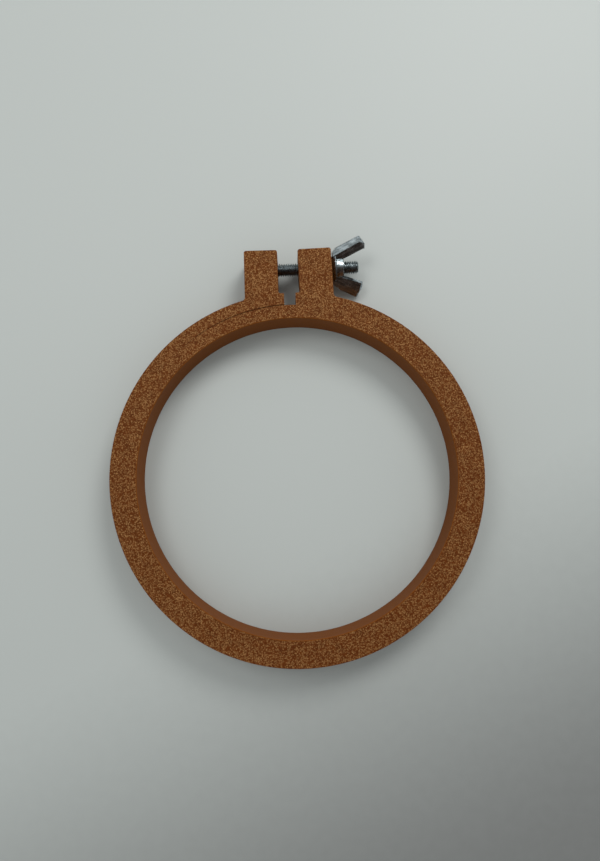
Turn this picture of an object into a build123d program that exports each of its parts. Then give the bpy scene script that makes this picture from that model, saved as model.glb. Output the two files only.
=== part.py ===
from build123d import *
import os
from math import cos, pi, radians, sin, sqrt, tan

# A clamping hoop that holds cloth taut for embroidery, printed in plastic.
# A plain inner hoop sits in a split outer hoop. A machine screw and a wing nut
# draw the two lugs of the outer hoop together, and the cloth is gripped
# between the hoops. The outer hoop springs open again as the nut is undone.
#
# Millimetres. The origin is the centre of the opening at the underside,
# +Z is up, +Y points to the lugs and +X to the wing nut.

# Inner hoop
opening_radius = 46.5
inner_wall = 4.0
hoop_height = 11.0
edge_break = 0.2         # chamfer on the open rims of both hoops

# Outer hoop
grip_clearance = 0.06    # between the hoops where they grip
outer_wall = 3.74
seam_gap = 0.24          # how far the left end of the outer hoop stands off the inner one
seam_angle = 45.0        # degrees of hoop over which that gap closes
slot_left = 1.6          # from the middle plane to each end of the split hoop
slot_right = 1.85

# Lugs, one at each end of the outer hoop
lug_gap = 6.5            # between the lugs, at their roots
lug_width = 10.0         # along the screw
lug_lean = 0.8           # degrees that each lug leans to the other when clamped
lug_corner = 0.7
lug_root_fillet = 0.8
screw_height = 8.85      # from the outer face of the hoop to the screw
lug_end = 4.55           # from the screw to the end of the lug
screw_hole_radius = 2.6
hole_rise = 0.18         # the holes lie this much further out, to clear the screw as the hoop opens
pocket_depth = 4.8       # for the head, in the outer face of the left lug

# Clamp screw, M4 x 30 with a hexagon head
screw_diameter = 3.95
screw_length = 30.0
hexagon_sides = 6
head_across_flats = 7.0
head_thickness = 2.8
head_chamfer = 0.5
head_clearance = 0.35    # round the head in its pocket
head_seat_gap = 0.12     # the head sits square to the screw, not to the leaning lug
tip_chamfer = 0.5

# Wing nut, M4
nut_base_radius = 4.3
nut_base_height = 1.1
nut_top_radius = 3.5
nut_height = 3.8
nut_thread_clearance = 0.05
nut_seat_gap = 0.03
nut_countersink = 0.4
wing_radius = 9.35       # from the screw to the outer corner of a wing
wing_height = 10.1       # from the seat of the nut to the inner corner of a wing
wing_width = 4.75
wing_slope = 24.5        # degrees between a wing and the screw
wing_foot = 0.4          # from the seat to the foot of a wing
wing_shoulder = 1.95     # from the seat to where the foot meets the wing's outer edge
wing_ridge_thickness = 2.2
wing_edge_thickness = 1.1
wing_corner = 0.9
wing_turn = 24.0         # degrees that the wing nearer the lug's end stands above level
ridge_share = 0.57       # of the wing's width, from its inner edge to its ridge

# Worked out from the sizes above
bore_radius = opening_radius + inner_wall + grip_clearance
outer_radius = bore_radius + outer_wall
screw_y = outer_radius + screw_height
screw_z = hoop_height / 2
screw_radius = screw_diameter / 2
lug_middle = lug_gap / 2 + lug_width / 2
lug_length = screw_height + lug_end
overrun = hoop_height    # how far cutting tools pass the faces that they cut


def upright(plan):
    """A plan raised to the height of the hoops."""
    return extrude(plan, hoop_height)


def break_rims(solid, radius):
    """Chamfer the rims of this radius, at the top and at the underside."""
    arcs = solid.edges().filter_by(GeomType.CIRCLE)
    rims = [arc for arc in arcs
            if abs(arc.radius - radius) < edge_break and abs(arc.tangent_at(0).Z) < edge_break]
    return chamfer(rims, edge_break)


def inner_hoop():
    """The plain ring. Its rims are broken on the side of the opening only."""
    ring = upright(Circle(opening_radius + inner_wall) - Circle(opening_radius))
    return break_rims(ring, opening_radius)


def lug_frame(side):
    """The root of a lug on the hoop's outer face, leaned to the other lug."""
    return Pos(side * lug_middle, outer_radius) * Rot(0, 0, side * lug_lean)


def hole_frame(side, depth):
    """A place on the hole's axis, this deep from the lug's outer face, with Z along the hole."""
    across = side * (lug_width / 2 - depth)
    return lug_frame(side) * Pos(across, screw_height + hole_rise, screw_z) * Rot(0, side * 90, 0)


def stand_off():
    """The wider, shifted circle to which the left end of the outer hoop has sprung."""
    turn = cos(radians(seam_angle))
    shift = seam_gap / (1 - turn)
    return Pos(0, shift) * Circle(bore_radius - shift * turn)


def outer_hoop(side, slot):
    """One half of the split hoop with its lug. The halves meet opposite the split."""
    lug_reach = outer_radius + lug_length
    lug = lug_frame(side) * Pos(0, lug_length - lug_reach / 2) * Rectangle(lug_width, lug_reach)
    bore = Circle(bore_radius)
    if side < 0:
        bore += stand_off()
    slot_side = Pos(side * (slot + lug_reach / 2), lug_reach / 2) * Rectangle(lug_reach, lug_reach)
    far_side = Pos(side * lug_reach / 2, -lug_reach / 2) * Rectangle(lug_reach, lug_reach)
    plan = ((Circle(outer_radius) + lug) - bore) & (slot_side + far_side)

    corners = [plan.vertices().sort_by_distance((lug_frame(side) * Pos(x, lug_length)).position)[0]
               for x in (-lug_width / 2, lug_width / 2)]
    plan = fillet(corners, lug_corner)
    roots = []
    for across in (lug_gap / 2, lug_gap / 2 + lug_width):
        root = (side * across, sqrt(outer_radius**2 - across**2))
        roots.append(plan.vertices().sort_by_distance(root)[0])
    plan = fillet(roots, lug_root_fillet)

    half = upright(plan)
    half = break_rims(half, outer_radius)
    half -= hole_frame(side, lug_width / 2) * Cylinder(screw_hole_radius, lug_width + overrun)
    return half


def head_pocket():
    """The hexagonal pocket in the left lug, which keeps the screw's head from turning."""
    hexagon = RegularPolygon(head_across_flats / 2 + head_clearance, hexagon_sides, major_radius=False)
    return hole_frame(-1, pocket_depth) * extrude(hexagon, pocket_depth + overrun)


def clamp_screw():
    """The screw, with its thread as a plain cylinder of the thread's outer size."""
    shank = Cylinder(screw_radius, screw_length, align=(Align.CENTER, Align.CENTER, Align.MIN))
    shank = chamfer(shank.edges().group_by(Axis.Z)[-1], tip_chamfer)
    hexagon = RegularPolygon(head_across_flats / 2, hexagon_sides, major_radius=False)
    corner_radius = head_across_flats / 2 / cos(pi / hexagon_sides)
    blank = Cylinder(corner_radius, head_thickness, align=(Align.CENTER, Align.CENTER, Align.MAX))
    blank = chamfer(blank.edges().group_by(Axis.Z)[0], head_chamfer)
    head = extrude(hexagon, -head_thickness) & blank
    pocket_floor = hole_frame(-1, pocket_depth).position.X
    return Pos(pocket_floor - head_seat_gap, screw_y, screw_z) * Rot(0, 90, 0) * (shank + head)


def nut_seat():
    """The distance from the middle plane to the seat of the nut, clear of the leaning lug."""
    lug_face = (lug_frame(1) * Pos(lug_width / 2, screw_height)).position.X
    return lug_face + nut_base_radius * sin(radians(lug_lean)) + nut_seat_gap


def nut_hub():
    """The round of the nut: a low collar with a tapered hub on it, lying along X."""
    profile = Polygon(
        (0, 0),
        (nut_height, 0),
        (nut_height, nut_top_radius),
        (nut_base_height, nut_base_radius),
        (0, nut_base_radius),
    )
    return revolve(profile, Axis.X)


def nut_bore():
    """The bore for the screw, with its mouths countersunk."""
    radius = screw_radius + nut_thread_clearance
    mouth = radius + nut_countersink
    profile = Polygon(
        (-overrun, 0),
        (wing_height, 0),
        (wing_height, radius),
        (nut_height, radius),
        (nut_height, mouth),
        (nut_height - nut_countersink, radius),
        (nut_countersink, radius),
        (0, mouth),
        (-overrun, mouth),
    )
    return revolve(profile, Axis.X)


def wing():
    """One wing: a sloping paddle with a ridge along both of its broad faces."""
    slope = radians(wing_slope)
    inner_corner = (wing_height, wing_radius - wing_width * cos(slope))
    outer_corner = (wing_height - wing_width * sin(slope), wing_radius)
    start = wing_height - inner_corner[1] / tan(slope)
    shoulder = wing_radius - (outer_corner[0] - wing_shoulder) * tan(slope)
    outline = Polygon(
        (start, 0),
        inner_corner,
        outer_corner,
        (wing_shoulder, shoulder),
        (wing_foot, nut_base_radius),
        (wing_foot, 0),
    )
    tips = [outline.vertices().sort_by_distance(corner)[0] for corner in (inner_corner, outer_corner)]
    outline = fillet(tips, wing_corner)

    along = Plane((start, 0, 0), x_dir=(-sin(slope), cos(slope), 0), z_dir=(cos(slope), sin(slope), 0))
    edge = wing_edge_thickness / 2
    ridge = wing_ridge_thickness / 2
    ridge_line = wing_width * ridge_share
    section = Polygon((0, -edge), (ridge_line, -ridge), (wing_width, -edge),
                      (wing_width, edge), (ridge_line, ridge), (0, edge))
    bar = extrude(along * section, (wing_height - start) / cos(slope))
    return extrude(outline, ridge, both=True) & bar


def wing_nut():
    """The nut with its two wings, seated on the right lug."""
    nut = nut_hub() + wing() + Rot(180, 0, 0) * wing() - nut_bore()
    return Pos(nut_seat(), screw_y, screw_z) * Rot(wing_turn, 0, 0) * nut


nodes = {
    "inner_hoop": inner_hoop(),
    "outer_hoop_left": outer_hoop(-1, slot_left) - head_pocket(),
    "outer_hoop_right": outer_hoop(1, slot_right),
    "clamp_screw": clamp_screw(),
    "wing_nut": wing_nut(),
}

os.makedirs("parts", exist_ok=True)
for name, shape in nodes.items():
    export_step(shape, f"parts/{name}.step")
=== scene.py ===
from math import cos, pi, radians, sqrt, tan

import bmesh
import bpy
from mathutils import Matrix, Vector


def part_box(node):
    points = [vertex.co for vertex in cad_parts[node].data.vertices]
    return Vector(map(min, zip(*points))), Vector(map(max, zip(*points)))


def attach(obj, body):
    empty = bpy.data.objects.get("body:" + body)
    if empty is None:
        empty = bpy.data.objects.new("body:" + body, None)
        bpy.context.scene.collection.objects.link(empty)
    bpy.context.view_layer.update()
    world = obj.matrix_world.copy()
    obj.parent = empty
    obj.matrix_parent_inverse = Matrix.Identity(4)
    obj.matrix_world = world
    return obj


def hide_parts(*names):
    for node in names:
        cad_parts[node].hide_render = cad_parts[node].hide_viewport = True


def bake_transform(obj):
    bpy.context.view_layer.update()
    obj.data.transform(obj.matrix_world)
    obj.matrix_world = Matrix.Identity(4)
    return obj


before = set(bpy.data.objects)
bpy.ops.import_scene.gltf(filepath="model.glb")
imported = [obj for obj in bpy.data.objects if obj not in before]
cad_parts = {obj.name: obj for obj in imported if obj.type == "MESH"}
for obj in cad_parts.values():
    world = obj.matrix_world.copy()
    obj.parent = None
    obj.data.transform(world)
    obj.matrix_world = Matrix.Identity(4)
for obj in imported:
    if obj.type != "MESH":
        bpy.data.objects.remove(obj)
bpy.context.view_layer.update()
mm = 0.001
hair = 0.001 * mm         # closer than this, two points are one
slack = 0.01 * mm         # how far off a line a point that lies on it may be
corner_slack = 0.1 * mm   # and how far off a corner its vertex may be
level_facing = 0.9        # the least share of its normal by which a face is level
round_segments = 6        # in a rounded corner of the outer hoop
turned_steps = 72         # round the screw and the nut
hexagon = 6


# Outer hoop
# A split ring with a lug at each of its ends, printed in copper-coloured plastic
# that has glitter in it. The rough face that lay on the print bed is up. The
# left end of the ring has sprung a little way off the inner hoop.

hoop_low, hoop_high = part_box("outer_hoop_right")
hoop_height = hoop_high.z
outer_radius = -hoop_low.y
inner_hoop_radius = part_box("inner_hoop")[1].x
grip_clearance = 0.06 * mm
bore_radius = inner_hoop_radius + grip_clearance
ring_steps = 480
hole_steps = 48

seam_gap = 0.24 * mm
seam_angle = radians(45)

lug_gap = 6.5 * mm
lug_width = 10.0 * mm
lug_length = 13.4 * mm
lug_lean = radians(0.8)
lug_corner = 0.7 * mm
root_fillet = 0.8 * mm
slot_left = 1.6 * mm
slot_right = 1.85 * mm
edge_break = 0.18 * mm
sharp_angle = radians(40)     # edges sharper than this are broken
flat_angle = radians(0.1)     # edges flatter than this are left out of the plan
plastic_smooth = radians(20)  # edges flatter than this are shaded smooth
lug_overlap = 7.5 * mm    # how far a lug reaches into the ring before the bore is cut
spare = 3.0 * mm          # how far a cutter passes the faces that it cuts

screw_low, screw_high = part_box("clamp_screw")
screw_y = (screw_low.y + screw_high.y) / 2
screw_z = (screw_low.z + screw_high.z) / 2
hole_radius = 2.6 * mm
hole_rise = 0.18 * mm
pocket_flats = 7.7 * mm
pocket_depth = 4.8 * mm


def settle(piece, place):
    """Put a new solid in its place, and keep the place in its mesh."""
    piece.matrix_world = place @ piece.matrix_world
    bpy.ops.object.transform_apply(location=True, rotation=True, scale=True)
    return piece


def bar(sides, radius, start, end, place=Matrix()):
    """A bar of this many sides, from start to end along the Z axis of its place."""
    bpy.ops.mesh.primitive_cylinder_add(
        vertices=sides, radius=radius, depth=end - start, location=(0, 0, (start + end) / 2)
    )
    bpy.context.view_layer.update()
    return settle(bpy.context.object, place)


def block(lowest, highest, place=Matrix()):
    """A block between two corners, in its place."""
    lowest, highest = Vector(lowest), Vector(highest)
    bpy.ops.mesh.primitive_cube_add(
        size=1, location=(lowest + highest) / 2, scale=highest - lowest
    )
    bpy.context.view_layer.update()
    return settle(bpy.context.object, place)


def combine(piece, tool, operation):
    """Join a solid to a piece, or cut the piece with it. The solid is used up."""
    bpy.ops.object.select_all(action="DESELECT")
    bpy.context.view_layer.objects.active = piece
    piece.select_set(True)
    change = piece.modifiers.new("combine", "BOOLEAN")
    change.object, change.operation, change.solver = tool, operation, "EXACT"
    bpy.ops.object.modifier_apply(modifier=change.name)
    bpy.data.meshes.remove(tool.data)
    return piece


def choose(piece, parts, wanted):
    """In edit mode, select the edges or the faces that pass a test, and nothing else."""
    bpy.ops.mesh.select_mode(type="EDGE" if parts == "edges" else "FACE")
    bpy.ops.mesh.select_all(action="DESELECT")
    shape = bmesh.from_edit_mesh(piece.data)
    for part in getattr(shape, parts):
        if wanted(part):
            part.select_set(True)
    bmesh.update_edit_mesh(piece.data)


def middle(edge):
    """The middle of an edge."""
    return (edge.verts[0].co + edge.verts[1].co) / 2


def upright(edge):
    """Whether an edge stands upright."""
    return (edge.verts[0].co.xy - edge.verts[1].co.xy).length < slack


def upright_at(places, near):
    """A test for upright edges that stand near one of these places."""
    return lambda edge: upright(edge) and any(
        (edge.verts[0].co.xy - place).length < near for place in places)


def lug_frame(side):
    """The root of a lug, on the outer face of the ring and leaning to the other lug."""
    root = Matrix.Translation((side * (lug_gap + lug_width) / 2, outer_radius, 0))
    return root @ Matrix.Rotation(side * lug_lean, 4, "Z")


def lug(side):
    """A plain upright lug with its two outer corners rounded."""
    half = lug_width / 2
    piece = block((-half, -lug_overlap, 0), (half, lug_length, hoop_height))
    corners = [Vector((x, lug_length)) for x in (-half, half)]
    bpy.ops.object.mode_set(mode="EDIT")
    choose(piece, "edges", upright_at(corners, corner_slack))
    bpy.ops.mesh.bevel(offset=lug_corner, segments=round_segments, affect="EDGES")
    bpy.ops.object.mode_set(mode="OBJECT")
    return settle(piece, lug_frame(side))


def hole_frame(side, depth):
    """A place on the hole's axis, this deep in the lug's outer face, with Z along the hole."""
    across = side * (lug_width / 2 - depth)
    outward = screw_y - outer_radius + hole_rise
    turn = Matrix.Rotation(side * pi / 2, 4, "Y")
    return lug_frame(side) @ Matrix.Translation((across, outward, screw_z)) @ turn


outer_hoop = bar(ring_steps, outer_radius, 0, hoop_height)
outer_hoop.name = "outer_hoop"
for side in (-1, 1):
    combine(outer_hoop, lug(side), "UNION")

roots = []
for across in (lug_gap / 2, lug_gap / 2 + lug_width):
    for side in (-1, 1):
        roots.append(Vector((side * across, sqrt(outer_radius**2 - across**2))))
bpy.ops.object.mode_set(mode="EDIT")
bpy.ops.mesh.select_all(action="SELECT")
bpy.ops.mesh.dissolve_limited(angle_limit=flat_angle)
beside_a_root = upright_at(roots, 2 * root_fillet)
at_a_root = upright_at(roots, corner_slack)
choose(outer_hoop, "edges", lambda edge: beside_a_root(edge) and not at_a_root(edge)
       and abs(edge.verts[0].co.xy.length - outer_radius) < 2 * slack)
bpy.ops.mesh.dissolve_edges(use_verts=True)
choose(outer_hoop, "edges", at_a_root)
bpy.ops.mesh.bevel(offset=root_fillet, segments=round_segments, affect="EDGES")
bpy.ops.object.mode_set(mode="OBJECT")

combine(outer_hoop, bar(ring_steps, bore_radius, -spare, hoop_height + spare), "DIFFERENCE")

closing = cos(seam_angle)
shift = seam_gap / (1 - closing)
sprung = bar(ring_steps, bore_radius - shift * closing, -spare, hoop_height + spare,
             Matrix.Translation((0, shift, 0)))
bpy.ops.object.mode_set(mode="EDIT")
bpy.ops.mesh.select_all(action="SELECT")
bpy.ops.mesh.bisect(plane_co=(0, 0, 0), plane_no=(1, 0, 0), clear_outer=True, use_fill=True,
                    threshold=hair)
bpy.ops.object.mode_set(mode="OBJECT")
combine(outer_hoop, sprung, "DIFFERENCE")

slot = block((-slot_left, outer_radius - 3 * spare, -spare),
             (slot_right, outer_radius + spare, hoop_height + spare))
combine(outer_hoop, slot, "DIFFERENCE")
for side in (-1, 1):
    hole = bar(hole_steps, hole_radius, -spare, lug_width + spare, hole_frame(side, lug_width))
    combine(outer_hoop, hole, "DIFFERENCE")
pocket_corner = pocket_flats / 2 / cos(pi / hexagon)
pocket = bar(hexagon, pocket_corner, 0, pocket_depth + spare,
             hole_frame(-1, pocket_depth) @ Matrix.Rotation(pi / hexagon, 4, "Z"))
combine(outer_hoop, pocket, "DIFFERENCE")


def in_pocket(vertex):
    """Whether a vertex belongs to the pocket for the screw's head."""
    across = vertex.co.yz - Vector((screw_y + hole_rise, screw_z))
    outward = vertex.co.x < -(lug_gap + lug_width) / 2
    return outward and across.length < pocket_corner + edge_break


def is_rim(edge):
    """Whether an edge is broken: all sharp ones are, but for the bore's and the pocket's."""
    if len(edge.link_faces) != 2 or edge.calc_face_angle() < sharp_angle:
        return False
    if all(in_pocket(vertex) for vertex in edge.verts):
        return False
    return all(vertex.co.xy.length > bore_radius + seam_gap + edge_break or vertex.co.y < 0
               and vertex.co.xy.length > bore_radius + edge_break for vertex in edge.verts)


bpy.ops.object.mode_set(mode="EDIT")
choose(outer_hoop, "edges", is_rim)
bpy.ops.mesh.bevel(offset=edge_break, segments=2, affect="EDGES")
bpy.ops.object.mode_set(mode="OBJECT")
bpy.ops.object.shade_smooth_by_angle(angle=plastic_smooth)


class Signal:
    """A value or colour on its way through a material's nodes."""

    def __init__(self, tree, socket=None):
        self.tree = tree
        self.socket = socket

    def node(self, kind, settings=None, sockets=None, output=0):
        """Add a node: its settings first, then the values or links of its sockets."""
        added = self.tree.nodes.new("ShaderNode" + kind)
        for name, value in (settings or {}).items():
            setattr(added, name, value)
        for name, value in (sockets or {}).items():
            if isinstance(value, Signal):
                self.tree.links.new(value.socket, added.inputs[name])
            else:
                added.inputs[name].default_value = value
        return Signal(self.tree, added.outputs[output])

    def maths(self, operation, *values):
        return self.node("Math", {"operation": operation}, dict(enumerate(values)))

    def __add__(self, other):
        return self.maths("ADD", self, other)

    def __mul__(self, other):
        return self.maths("MULTIPLY", self, other)

    __radd__ = __add__
    __rmul__ = __mul__


def new_finish(name):
    """A new material, and the signal that its nodes grow from."""
    material = bpy.data.materials.new(name)
    material.use_nodes = True
    return material, Signal(material.node_tree)


def dress(material, sockets):
    """Set the material's own shader."""
    shader = material.node_tree.nodes["Principled BSDF"]
    for name, value in sockets.items():
        if isinstance(value, Signal):
            material.node_tree.links.new(value.socket, shader.inputs[name])
        else:
            shader.inputs[name].default_value = value


def mixed(start, first, second, share):
    """The first colour, turned to the second one by a share."""
    return start.node("Mix", {"data_type": "RGBA"}, {0: share, 6: first, 7: second}, output=2)


copper_light = (0.112, 0.0265, 0.0040, 1)
copper_dark = (0.060, 0.012, 0.0015, 1)
copper_wall = (0.200, 0.063, 0.0100, 1)
# The glitter's flakes have their own gold, lighter than the plastic. Their lighter colour in the
# base colour also paints in the glints they throw, as a painted highlight.
glitter_and_painted_glint = (0.44, 0.240, 0.090, 1)
warm_gloss = (1.0, 0.80, 0.45, 1)
layer_height = 0.2 * mm
line_width = 0.4 * mm
wave_rate = 20            # radians of a wave texture in each metre, at a scale of 1
wall_share = 0.65         # of the walls' own colour in the plastic's
wall_layers = 0.5         # weights in the relief of the walls,
wall_patches = 0.2
last_lines = 0.7          # of the last layer
last_grain = 0.3
bed_patches = 0.5         # and of the bed face
grain_scale = 2600.0
patch_scale = 420.0
noise_detail = 3.0
grain_share = 0.65        # of the fine grain in what is uneven, the rest being patches
wander_scale = 4500.0
wander_reach = 0.4 * mm   # how far the edges of the glitter's flakes wander
flake_scale = 2500.0
flake_and_painted_glint_colour = 0.8        # how much of the glitter's colour and metal a full glint has
flake_metal = 0.3
flake_tilt = 0.2          # how far a flake leans, as a share of its normal


def wave_scale(spacing):
    """The scale at which a wave texture repeats at this spacing."""
    return 2 * pi / (wave_rate * spacing)


def copper_plastic(name, face):
    """The hoops' plastic, as it looks on the bed face, on a wall or on the last layer."""
    material, start = new_finish(name)
    place = start.node("TexCoord", output=3)
    grain = start.node("TexNoise", {}, {
        "Vector": place, "Scale": grain_scale, "Detail": noise_detail})
    patches = start.node("TexNoise", {}, {
        "Vector": place, "Scale": patch_scale, "Detail": noise_detail})
    uneven = start.node("MapRange", {}, {
        "Value": grain_share * grain + (1 - grain_share) * patches,
        "From Min": 0.30, "From Max": 0.68})
    body = mixed(start, copper_dark, copper_light, uneven)
    if face == "wall":
        relief, roughness, gloss = 0.006 * mm, 0.50, 0.04
        layers = start.node("TexWave", {"bands_direction": "Z"}, {
            "Vector": place, "Scale": wave_scale(layer_height)})
        height = wall_layers * layers + wall_patches * patches
    elif face == "last":
        shown, relief, roughness, gloss = 0.3, 0.02 * mm, 0.42, 0.12
        lines = start.node("TexWave", {"wave_type": "RINGS", "rings_direction": "Z"}, {
            "Vector": place, "Scale": wave_scale(line_width)})
        height = last_lines * lines + last_grain * grain
    else:
        shown, relief, roughness, gloss = -0.4, 0.10 * mm, 0.52, 0.12
        height = grain + bed_patches * patches
    bump = start.node("Bump", {}, {"Height": height, "Strength": 1.0, "Distance": relief})
    looks = {"Roughness": roughness, "Specular IOR Level": gloss,
             "Specular Tint": warm_gloss, "Normal": bump}
    if face == "wall":
        looks["Base Color"] = mixed(start, body, copper_wall, wall_share)
        dress(material, looks)
        return material

    wander = start.node("TexNoise", {}, {"Vector": place, "Scale": wander_scale}, output=1)
    ragged = start.node("VectorMath", {"operation": "MULTIPLY_ADD"},
                        {0: wander, 1: (wander_reach,) * 3, 2: place})
    cells = {"Vector": ragged, "Scale": flake_scale}
    flakes = start.node("TexVoronoi", {}, cells, output=1)
    lot = start.node("SeparateColor", {}, {"Color": flakes})
    speck = start.node("MapRange", {}, {
        "Value": start.node("TexVoronoi", {}, cells), "From Min": 0.62, "From Max": 0.10})
    glint = start.node("MapRange", {}, {"Value": lot, "From Min": shown, "From Max": 1.0}) * speck
    tilt = start.node("VectorMath", {"operation": "MULTIPLY_ADD"},
                      {0: flakes, 1: (2 * flake_tilt,) * 3, 2: (-flake_tilt,) * 3})
    tilted = start.node("VectorMath", {"operation": "SCALE"}, {0: tilt, "Scale": glint})
    leaning = start.node("VectorMath", {"operation": "ADD"}, {0: bump, 1: tilted})
    # painted glint: a full glint lifts the base colour towards the glitter's lighter gold,
    # besides its metal and tilted normal
    looks["Base Color"] = mixed(start, body, glitter_and_painted_glint, flake_and_painted_glint_colour * glint)
    looks["Metallic"] = flake_metal * glint
    looks["Normal"] = start.node("VectorMath", {"operation": "NORMALIZE"}, {0: leaning})
    dress(material, looks)
    return material


plastic_faces = {
    "bed": copper_plastic("copper_plastic_bed_face", "bed"),
    "wall": copper_plastic("copper_plastic_wall", "wall"),
    "last": copper_plastic("copper_plastic_last_layer", "last"),
}


def dress_in_plastic(piece):
    """Give each face of a hoop the plastic of its side: the bed face, walls or last layer."""
    bed, wall, last = range(len(plastic_faces))
    for material in plastic_faces.values():
        piece.data.materials.append(material)
    for face in piece.data.polygons:
        if face.normal.z > level_facing and face.center.z > hoop_height - edge_break:
            face.material_index = bed
        elif face.normal.z < -level_facing and face.center.z < edge_break:
            face.material_index = last
        else:
            face.material_index = wall


dress_in_plastic(outer_hoop)
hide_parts("outer_hoop_left", "outer_hoop_right")
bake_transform(outer_hoop)


# Inner hoop
# A plain closed ring of the same plastic, printed the same way up. It fits the
# outer hoop closely, and only its rims on the side of the opening are broken.

opening_radius = 46.5 * mm
fit_gap = 0.02 * mm


def trace(points):
    """A line through these points, begun as one vertex and extruded from point to point."""
    bpy.ops.mesh.primitive_plane_add(size=mm, location=(0, 0, 0))
    bpy.ops.object.mode_set(mode="EDIT")
    bpy.ops.mesh.select_mode(type="VERT")
    bpy.ops.mesh.merge(type="CENTER")
    bpy.ops.transform.translate(value=points[0])
    for last, point in zip(points, points[1:]):
        step = Vector(point) - Vector(last)
        bpy.ops.mesh.extrude_region_move(TRANSFORM_OT_translate={"value": step})
    bpy.ops.mesh.select_all(action="SELECT")
    return bpy.context.object


def turned(points, steps, axis, hollow=False):
    """A solid turned about an axis through the origin. Only a hollow one's line is closed."""
    piece = trace(points + points[:1] if hollow else points)
    bpy.ops.mesh.spin(steps=steps, angle=2 * pi, center=(0, 0, 0), axis=axis)
    bpy.ops.mesh.select_all(action="SELECT")
    bpy.ops.mesh.remove_doubles(threshold=hair)
    bpy.ops.mesh.normals_make_consistent(inside=False)
    bpy.ops.object.mode_set(mode="OBJECT")
    return piece


wall_outside = bore_radius - fit_gap
inner_hoop = turned([
    (opening_radius, 0, edge_break),
    (opening_radius + edge_break, 0, 0),
    (wall_outside, 0, 0),
    (wall_outside, 0, hoop_height),
    (opening_radius + edge_break, 0, hoop_height),
    (opening_radius, 0, hoop_height - edge_break),
], ring_steps, (0, 0, 1), hollow=True)
inner_hoop.name = "inner_hoop_print"
bpy.ops.object.shade_smooth_by_angle(angle=plastic_smooth)
dress_in_plastic(inner_hoop)
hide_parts("inner_hoop")
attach(inner_hoop, "inner_hoop")


# Clamp screw
# A zinc-plated M4 machine screw with a hexagon head, which sits in the pocket
# of the left lug. Its thread is rolled along the shank, but for a short neck
# below the head.

pitch = 0.7 * mm
thread_radius = 1.975 * mm
thread_depth = 0.43 * mm
crest = 0.09 * mm
flank_angle = radians(30)
flank = thread_depth * tan(flank_angle)
thread_steps = 36
screw_smooth = radians(25)
head_thickness = 2.8 * mm
head_flats = 7.0 * mm
head_chamfer = 0.5 * mm
chamfer_slope = 0.6       # the chamfer's height on the head, as a share of its width
tip_chamfer = 0.5 * mm
under_head = 0.9 * mm     # plain shank below the head
neck_wall = 0.15 * mm     # by which that shank is wider than the thread's root
blank_edge = 0.05 * mm    # how far the blank passes the head, the shank and the ends
blank_shank = 0.02 * mm
blank_end = 0.01 * mm
head_seat = screw_low.x + head_thickness
screw_length = screw_high.x - head_seat
screw_place = Matrix.Translation((head_seat, screw_y, screw_z))
thread_root = thread_radius - thread_depth

thread = trace([
    (0, thread_root, 0),
    (flank, thread_radius, 0),
    (flank + crest, thread_radius, 0),
    (2 * flank + crest, thread_root, 0),
    (pitch, thread_root, 0),
])
bpy.ops.object.mode_set(mode="OBJECT")
spare_turns = 3
turns = int(screw_length / pitch) + spare_turns
rolled = thread.modifiers.new("thread", "SCREW")
rolled.axis = "X"
rolled.screw_offset = pitch
rolled.iterations = turns
rolled.steps = rolled.render_steps = thread_steps
rolled.use_merge_vertices = True
rolled.merge_threshold = hair
bpy.ops.object.modifier_apply(modifier=rolled.name)
bpy.ops.object.mode_set(mode="EDIT")
bpy.ops.mesh.select_all(action="SELECT")
bpy.ops.transform.translate(value=(-pitch, 0, 0))
for end, facing in ((under_head, -1), (screw_length, 1)):
    bpy.ops.mesh.select_all(action="SELECT")
    bpy.ops.mesh.bisect(plane_co=(end, 0, 0), plane_no=(facing, 0, 0), clear_outer=True,
                        threshold=hair)
    choose(thread, "edges",
           lambda edge: edge.is_boundary and abs(middle(edge).x - end) < slack)
    bpy.ops.mesh.edge_face_add()
bpy.ops.mesh.select_all(action="SELECT")
bpy.ops.mesh.remove_doubles(threshold=hair)
bpy.ops.mesh.normals_make_consistent(inside=False)
bpy.ops.object.mode_set(mode="OBJECT")

along_x = Matrix.Rotation(pi / 2, 4, "Y")
head_corner = head_flats / 2 / cos(pi / hexagon)
screw = bar(hexagon, head_corner, -head_thickness, 0,
            along_x @ Matrix.Rotation(pi / hexagon, 4, "Z"))
screw.name = "clamp_screw_threaded"
neck = bar(thread_steps, thread_root + neck_wall, -head_chamfer, under_head + pitch, along_x)
combine(screw, neck, "UNION")
combine(screw, thread, "UNION")
blank = turned([
    (-head_thickness, 0, 0),
    (-head_thickness, head_corner - head_chamfer, 0),
    (-head_thickness + head_chamfer * chamfer_slope, head_corner + blank_edge, 0),
    (blank_end, head_corner + blank_edge, 0),
    (blank_end, thread_radius + blank_shank, 0),
    (screw_length - tip_chamfer, thread_radius + blank_shank, 0),
    (screw_length - blank_end, thread_radius - tip_chamfer, 0),
    (screw_length - blank_end, 0, 0),
], turned_steps, (1, 0, 0))
combine(screw, blank, "INTERSECT")
settle(screw, screw_place)
bpy.ops.object.shade_smooth_by_angle(angle=screw_smooth)


zinc_dark = (0.15, 0.170, 0.172, 1)
zinc_light = (0.37, 0.415, 0.430, 1)
streak_scale = 1900.0
streak_share = 0.7        # of the streaks in what is bright, the rest being blotches
blotch_scale = 600.0
zinc_roughness = 0.14
zinc_dullness = 0.24      # how much rougher a full blotch is


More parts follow.
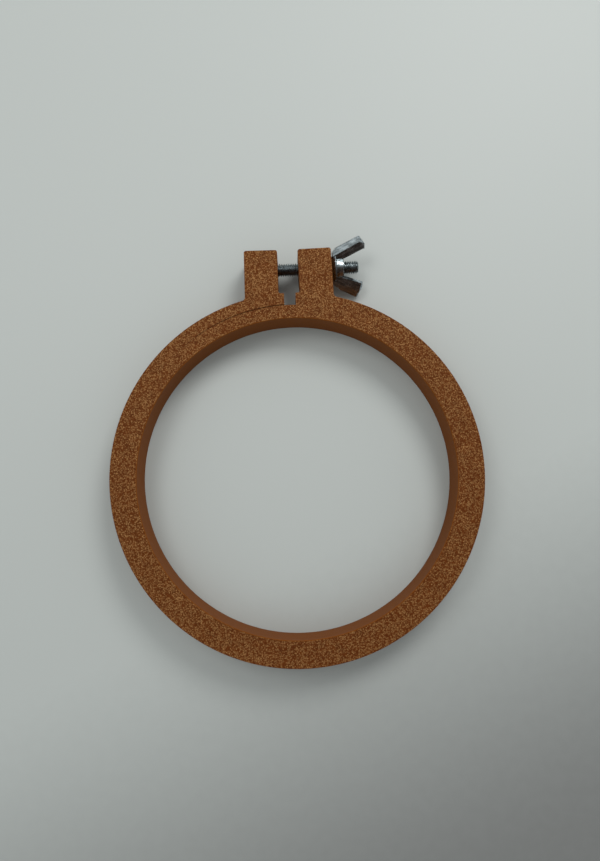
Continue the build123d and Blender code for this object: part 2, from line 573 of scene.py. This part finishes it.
def zinc_plate(name, centre, turn, slope, stretch):
    """Zinc plating, bright and dull by turns. A stretch draws it out in streaks along a slope."""
    material, start = new_finish(name)
    place = start.node("TexCoord", output=3)
    local = start.node("Mapping", {"vector_type": "TEXTURE"}, {
        "Vector": place, "Location": centre, "Rotation": (turn, 0, 0)})
    either_wing = local
    if slope:
        either_wing = start.node("VectorMath", {"operation": "ABSOLUTE"}, {0: local})
    along = start.node("Mapping", {"vector_type": "TEXTURE"}, {
        "Vector": either_wing, "Rotation": (0, 0, slope), "Scale": (stretch, 1, 1)})
    streaks = start.node("TexNoise", {}, {
        "Vector": along, "Scale": streak_scale, "Detail": noise_detail})
    blotches = start.node("TexNoise", {}, {
        "Vector": local, "Scale": blotch_scale, "Detail": noise_detail})
    bright = start.node("MapRange", {}, {
        "Value": streak_share * streaks + (1 - streak_share) * blotches,
        "From Min": 0.41, "From Max": 0.60})
    colour = mixed(start, zinc_dark, zinc_light, bright)
    bump = start.node("Bump", {}, {"Height": streaks, "Strength": 0.18, "Distance": 0.02 * mm})
    dress(material, {"Base Color": colour, "Metallic": 1.0, "Normal": bump,
                     "Roughness": zinc_roughness + zinc_dullness * blotches})
    return material


screw.data.materials.append(
    zinc_plate("zinc_on_screw", (0, screw_y, screw_z), turn=0, slope=0, stretch=1))
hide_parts("clamp_screw")
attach(screw, "clamp_screw")


# Wing nut
# A forged nut, zinc-plated, with two wings that slope away from the lug. Each
# wing has a ridge along both of its broad faces and a blunt, rounded end.

nut_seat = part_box("wing_nut")[0].x
wing_turn = radians(24)
nut_place = Matrix.Translation((nut_seat, screw_y, screw_z)) @ Matrix.Rotation(wing_turn, 4, "X")
nut_seat_radius = 3.4 * mm
nut_base_radius = 4.3 * mm
nut_base_height = 1.2 * mm
collar_under = 0.1 * mm   # the collar's rim begins this far below its height and ends
collar_over = 0.15 * mm   # this far above it, and the hub begins at the last height
collar_top = 0.45 * mm
collar_step = 0.90 * mm   # from the collar's rim in to the hub
hub_chamfer_height = 0.15 * mm
hub_chamfer = 0.2 * mm
nut_top_radius = 3.05 * mm
nut_height = 3.8 * mm
nut_bore = 2.03 * mm
nut_countersink = 0.4 * mm
nut_smooth = radians(18)

wing_reach = 10.0 * mm
wing_slope = radians(24.5)
wing_edge = 1.0 * mm         # the thickness along the edges of a wing
wing_end_edge = 0.7 * mm     # and round its end
wing_end_middle = 0.9 * mm
wing_end_length = 0.4 * mm   # of the blunt end, beyond the ridged part
wing_end_corner = 0.28 * mm
wing_end_segments = 4
wing_edge_break = 0.13 * mm
wing_sharp_angle = radians(50)
end_facing = 0.7             # the least share of its normal by which a face is an end

# The outlines of the wings, in millimetres from the seat and from the screw
upper_outline = {
    "root": ((0.40, 1.20), (0.40, 5.54)),
    "tip": ((10.01, 5.50), (8.35, 9.25)),
    "end": ((10.40, 5.36), (10.42, 7.00), (8.67, 9.41)),
    "ridge": ((1.44, 4.05), (8.64, 7.54)),
    "foot": ((0.12, 4.34), (1.58, 6.08)),
}
lower_outline = {
    "root": ((0.40, 1.11), (0.40, 5.42)),
    "tip": ((9.40, 4.21), (7.40, 8.89)),
    "end": ((9.75, 4.31), (9.45, 6.20), (7.71, 9.05)),
    "ridge": ((2.90, 6.55), (8.60, 6.92)),
    "foot": ((0.81, 5.01), (2.34, 6.38)),
}


def shift_column(piece, place, goal, thickness=wing_edge, new_thickness=wing_edge):
    """Move the upright edge that stands at a place, and give it another length."""
    choose(piece, "edges", upright_at([place], 2 * slack))
    bpy.ops.transform.translate(value=(*(goal - place), 0))
    bpy.ops.transform.resize(value=(1, 1, new_thickness / thickness), center_override=(0, 0, 0))


def wing(outline, root_inner, root_outer, ridge_root, ridge_tip, inner_break):
    """One wing: a plate ridged on both broad faces, with a blunt end and a sloping foot.

    Its thicknesses are given at the inner and outer corner of its root, and at both ends
    of the ridge. One long inner edge can be broken more than the others.
    """
    root, tip, end, ridge, foot = (
        [Vector(point) * mm for point in outline[part]]
        for part in ("root", "tip", "end", "ridge", "foot"))
    piece = block((0, 0, -wing_edge / 2), (wing_reach, wing_reach, wing_edge / 2))
    bpy.ops.object.mode_set(mode="EDIT")
    for corner, goal, thickness in (
            ((0, 0), root[0], root_inner), ((1, 0), tip[0], wing_edge),
            ((1, 1), tip[1], wing_edge), ((0, 1), root[1], root_outer)):
        shift_column(piece, Vector(corner) * wing_reach, goal, wing_edge, thickness)

    crease = (ridge[1] - ridge[0]).normalized()
    across = crease.orthogonal()
    bpy.ops.mesh.select_all(action="SELECT")
    bpy.ops.mesh.bisect(plane_co=(*ridge[0], 0), plane_no=(*across, 0), threshold=hair)

    def crease_end(far):
        """A test for the upright edge at the near or the far end of the ridge."""
        return lambda edge: (upright(edge) and (middle(edge).x > wing_reach / 2) == far
                             and abs((middle(edge).xy - ridge[0]).dot(across)) < slack)

    for far, thickness in ((False, ridge_root), (True, ridge_tip)):
        shape = bmesh.from_edit_mesh(piece.data)
        end_edge = next(edge for edge in shape.edges if crease_end(far)(edge))
        crossing, length = middle(end_edge).xy, end_edge.calc_length()
        shift_column(piece, crossing, ridge[1] if far else crossing, length, thickness)

    step = crease * wing_end_length
    choose(piece, "faces", lambda face: face.normal.xy.dot(crease) > end_facing)
    bpy.ops.mesh.extrude_region_move(TRANSFORM_OT_translate={"value": (*step, 0)})
    shift_column(piece, tip[0] + step, end[0], wing_edge, wing_end_edge)
    shift_column(piece, ridge[1] + step, end[1], ridge_tip, wing_end_middle)
    shift_column(piece, tip[1] + step, end[2], wing_edge, wing_end_edge)

    bpy.ops.mesh.select_all(action="SELECT")
    along_foot = foot[1] - foot[0]
    bpy.ops.mesh.bisect(plane_co=(*foot[0], 0), plane_no=(-along_foot.y, along_foot.x, 0),
                        clear_outer=True, use_fill=True, threshold=hair)

    choose(piece, "edges", upright_at([end[0], end[2]], 2 * slack))
    bpy.ops.mesh.bevel(offset=wing_end_corner, segments=wing_end_segments, affect="EDGES")
    inward = (tip[0] - root[0]).normalized().orthogonal()

    def on_inner_edge(vertex):
        """Whether a vertex lies on the wing's inner edge, short of the blunt end."""
        off_line = abs((vertex.co.xy - root[0]).dot(inward))
        return vertex.co.x < tip[0].x + slack and off_line < 2 * slack

    if inner_break:
        choose(piece, "edges", lambda edge: middle(edge).z < 0
               and all(on_inner_edge(vertex) for vertex in edge.verts))
        bpy.ops.mesh.bevel(offset=inner_break, segments=1, affect="EDGES")
    choose(piece, "edges", lambda edge: edge.calc_face_angle() > wing_sharp_angle
           and not upright(edge))
    bpy.ops.mesh.bevel(offset=wing_edge_break, segments=1, affect="EDGES", clamp_overlap=True)
    bpy.ops.object.mode_set(mode="OBJECT")
    return piece


nut = turned([
    (0, nut_bore, 0),
    (0, nut_seat_radius, 0),
    (nut_base_height - collar_under, nut_base_radius, 0),
    (nut_base_height + collar_over, nut_base_radius, 0),
    (nut_base_height + collar_top, nut_base_radius - collar_step, 0),
    (nut_height - hub_chamfer_height, nut_top_radius, 0),
    (nut_height, nut_top_radius - hub_chamfer, 0),
    (nut_height, nut_bore, 0),
], turned_steps, (1, 0, 0), hollow=True)
nut.name = "wing_nut_forged"
upper = wing(upper_outline, root_inner=3.4 * mm, root_outer=3.4 * mm,
             ridge_root=5.0 * mm, ridge_tip=2.5 * mm, inner_break=0)
combine(nut, upper, "UNION")
lower = wing(lower_outline, root_inner=4.4 * mm, root_outer=1.4 * mm,
             ridge_root=1.4 * mm, ridge_tip=2.4 * mm, inner_break=0.6 * mm)
settle(lower, Matrix.Rotation(pi, 4, "X"))
combine(nut, lower, "UNION")
mouth = turned([
    (-spare, 0, 0),
    (-spare, nut_bore + nut_countersink, 0),
    (0, nut_bore + nut_countersink, 0),
    (nut_countersink, nut_bore, 0),
    (nut_height - nut_countersink, nut_bore, 0),
    (nut_height, nut_bore + nut_countersink, 0),
    (nut_height + spare, nut_bore + nut_countersink, 0),
    (nut_height + spare, 0, 0),
], turned_steps, (1, 0, 0))
combine(nut, mouth, "DIFFERENCE")
settle(nut, nut_place)
bpy.ops.object.shade_smooth_by_angle(angle=nut_smooth)
nut.data.materials.append(
    zinc_plate("zinc_on_nut", (nut_seat, screw_y, screw_z), wing_turn, wing_slope, stretch=7))
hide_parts("wing_nut")
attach(nut, "wing_nut")


# Table, light and camera
# A pale table with painted shade, darker along −Y and a little towards +X, two large
# soft lamps, one beyond the lugs and one overhead to the left, a pale room whose dark
# side behind the camera is seen only in reflections, and the camera close above the hoop.

table_size = 3.0
table_drop = 0.02 * mm    # just below the hoop
# The table's colour fades from a darker to a lighter tone along a direction. This is painted
# shade for the room's light falling off towards −Y and +X, not a tone of the table itself.
table_in_painted_shade = (0.160, 0.162, 0.156, 1)
table_in_painted_light = (0.410, 0.430, 0.410, 1)
table_roughness = 0.6
table_mottle = 0.08
mottle_scale = 300.0
painted_shade_direction = (-0.38, 0.92, 0)
painted_shade_from = -0.137        # where along it the painted shade begins to lift, in metres
painted_shade_to = -0.01
lamp_size = 0.26
lamps = (                 # places, and powers in watts
    ((0.22, 0.38, 0.42), 1.65),
    ((-0.24, 0.20, 0.48), 0.66),
)
room_light = (0.66, 0.69, 0.70, 1)
room_dark = (0.070, 0.036, 0.023, 1)
room_strength = 0.92
dark_patches = (          # where to, and how many degrees off each is full and has ended
    ((0.22, -0.78, 0.58), 32, 50),
    ((0.15, -0.25, 0.95), 6, 26),
)
camera_place = (-1.37 * mm, -7.02 * mm, 198.14 * mm)
camera_turn = (radians(6.1), radians(-0.52), radians(-2.7))
film_height = 36          # of the camera and its lens, in millimetres
focal_length = 27.05
nearest_seen = 0.005

bpy.ops.mesh.primitive_plane_add(size=table_size, location=(0, 0, -table_drop))
table = bpy.context.object
table.name = "table"
table_finish, start = new_finish("pale_table_painted_shade")
table_place = start.node("TexCoord", output=3)
mottle = start.node("TexNoise", {}, {
    "Vector": table_place, "Scale": mottle_scale, "Detail": noise_detail})
painted_shade_along = start.node("VectorMath", {"operation": "DOT_PRODUCT"}, {
    0: table_place, 1: painted_shade_direction}, output=1)
# painted shade: how far the table has lightened along that direction
share = start.node("MapRange", {"interpolation_type": "SMOOTHSTEP"}, {
    "Value": painted_shade_along, "From Min": painted_shade_from, "From Max": painted_shade_to})
table_colour_and_painted_shade = mixed(start, table_in_painted_shade, table_in_painted_light, share + table_mottle * mottle)
dress(table_finish, {"Base Color": table_colour_and_painted_shade, "Roughness": table_roughness})
table.data.materials.append(table_finish)

for lamp_place, power in lamps:
    bpy.ops.object.light_add(type="AREA", location=lamp_place)
    lamp = bpy.context.object
    lamp.data.shape = "DISK"
    lamp.data.size = lamp_size
    lamp.data.energy = power
    lamp.rotation_euler = (-Vector(lamp_place)).to_track_quat("-Z", "Y").to_euler()

world = bpy.data.worlds.new("studio")
bpy.context.scene.world = world
world.use_nodes = True
room = Signal(world.node_tree)
direction = room.node("TexCoord", output=0)


def dark_patch(towards, inside, outside):
    """How dark the room is, by the angle from the middle of a dark patch in it."""
    facing = room.node("VectorMath", {"operation": "DOT_PRODUCT"}, {
        0: direction, 1: Vector(towards).normalized()}, output=1)
    return room.node("MapRange", {"interpolation_type": "SMOOTHSTEP"}, {
        "Value": facing, "From Min": cos(radians(outside)), "From Max": cos(radians(inside))})


in_gloss = room.node("LightPath", output=3)
behind = room.maths("MAXIMUM", *(dark_patch(*patch) for patch in dark_patches))
room_colour = mixed(room, room_light, room_dark, behind * in_gloss)
background = world.node_tree.nodes["Background"]
world.node_tree.links.new(room_colour.socket, background.inputs["Color"])
background.inputs["Strength"].default_value = room_strength

bpy.ops.object.camera_add(location=camera_place, rotation=camera_turn)
camera = bpy.context.object
camera.data.sensor_fit = "VERTICAL"
camera.data.sensor_height = film_height
camera.data.lens = focal_length
camera.data.clip_start = nearest_seen
bpy.context.scene.camera = camera
bpy.context.scene.view_settings.view_transform = "Standard"
